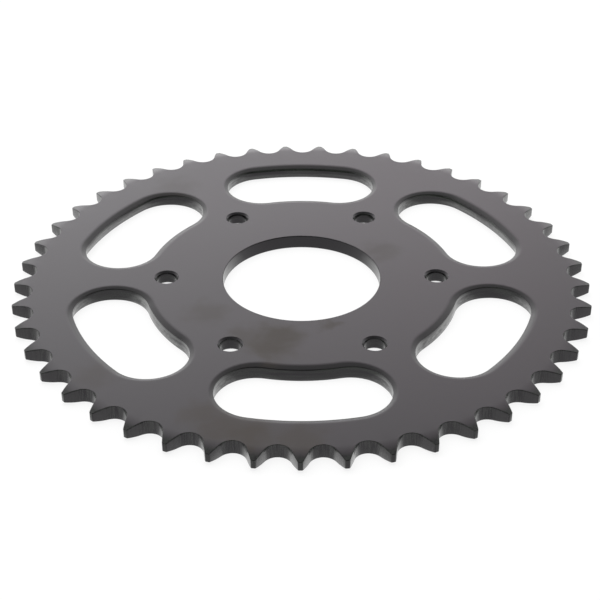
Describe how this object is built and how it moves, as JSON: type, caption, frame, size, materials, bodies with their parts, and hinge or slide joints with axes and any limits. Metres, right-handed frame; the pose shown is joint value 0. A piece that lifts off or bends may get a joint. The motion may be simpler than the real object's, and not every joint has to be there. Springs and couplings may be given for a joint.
{
  "type": "rear sprocket",
  "caption": "Flat steel rear drive sprocket: toothed rim for a roller chain, spokes between kidney-shaped windows, and a bolted ring round the hub bore.",
  "frame": {"origin": "centre of the hub bore on the hub-side face", "axes": "+Z along the wheel axis, out of the outer face, whose window edges are rolled; +X through the first bolt hole"},
  "size_m": [0.2335, 0.2334, 0.0058],
  "materials": {
    "black_steel": "satin dark grey black-oxide steel, plain and uncoated"
  },
  "bodies": {
    "root": {"sprocket_plate": "black_steel"}
  },
  "joints": []
}
